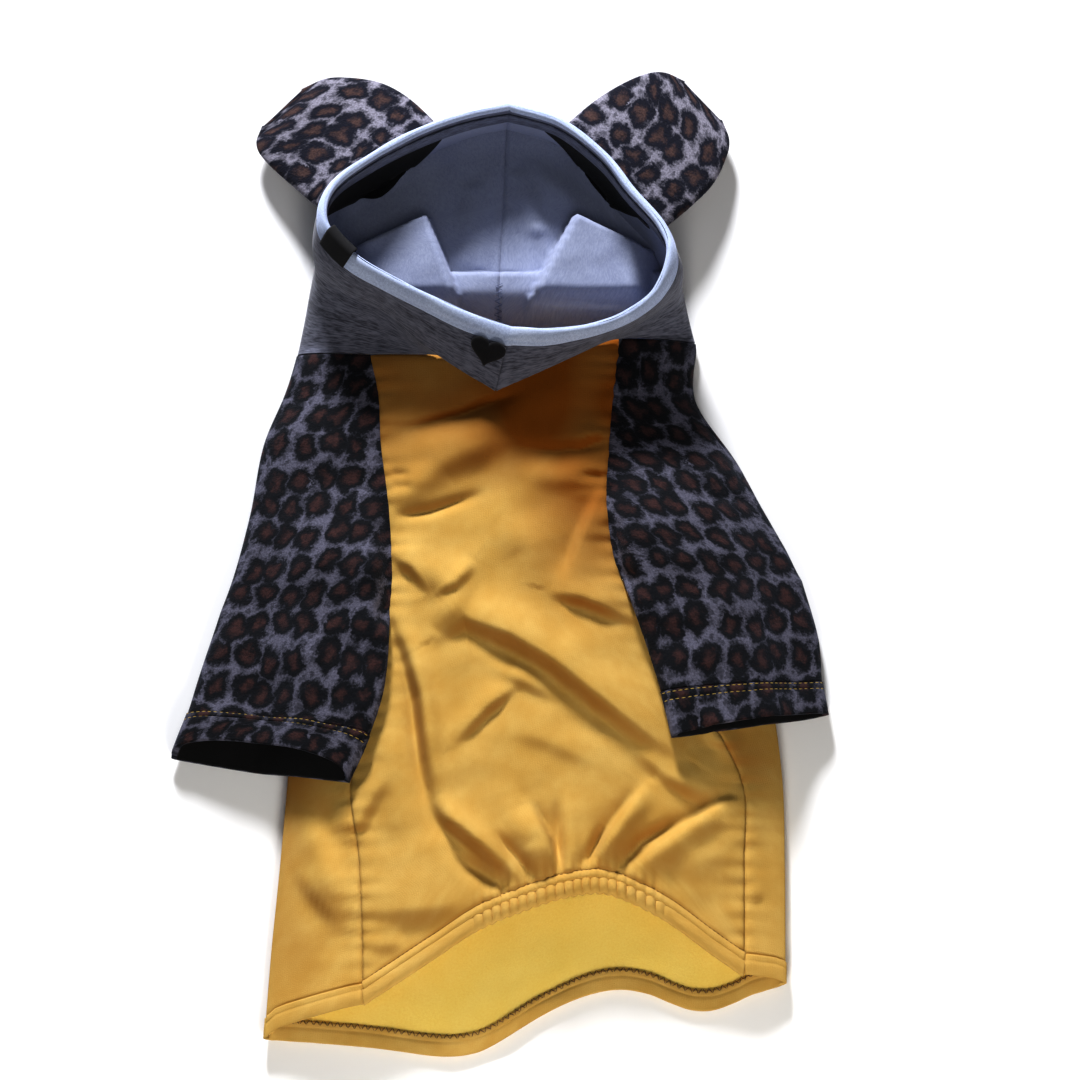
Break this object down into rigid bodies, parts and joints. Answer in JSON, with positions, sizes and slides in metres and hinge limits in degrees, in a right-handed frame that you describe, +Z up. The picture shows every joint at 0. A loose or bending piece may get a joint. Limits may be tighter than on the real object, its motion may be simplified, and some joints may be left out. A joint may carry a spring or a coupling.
{
  "type": "dog hoodie",
  "caption": "Dog hoodie laid on its back: sweatshirt body, leopard fleece raglan sleeves, open heather hood with hollow leopard ears.",
  "frame": {"origin": "centre of the garment's outline on the surface that it lies on", "axes": "+X across the body, +Y from hem to hood, +Z up from the surface, belly side up"},
  "size_m": [0.3272, 0.4963, 0.0631],
  "materials": {
    "mustard_sweatshirt": "mustard looped-back sweatshirt cloth, matt, slightly brushed",
    "leopard_fleece": "short-pile fleece with a leopard print, black on the reverse",
    "heather_sweatshirt": "grey heather sweatshirt outside, pale brushed fleece inside",
    "brushed_grey": "pale brushed side of the heather cloth turned out at the rim",
    "black_satin": "black woven satin ribbon",
    "black_felt": "black transfer badge, soft sheen"
  },
  "bodies": {
    "root": {"back_panel": "mustard_sweatshirt", "back_hem": "mustard_sweatshirt", "belly_panel": "mustard_sweatshirt", "belly_hem": "mustard_sweatshirt", "sleeve_left": "leopard_fleece", "sleeve_right": "leopard_fleece", "cuff_left": "leopard_fleece", "cuff_right": "leopard_fleece", "ear_left": "leopard_fleece", "ear_right": "leopard_fleece", "hood_left": "heather_sweatshirt", "hood_right": "heather_sweatshirt", "hood_rim": "brushed_grey", "label_tab": "black_satin", "chin_badge": "black_felt"}
  },
  "joints": []
}
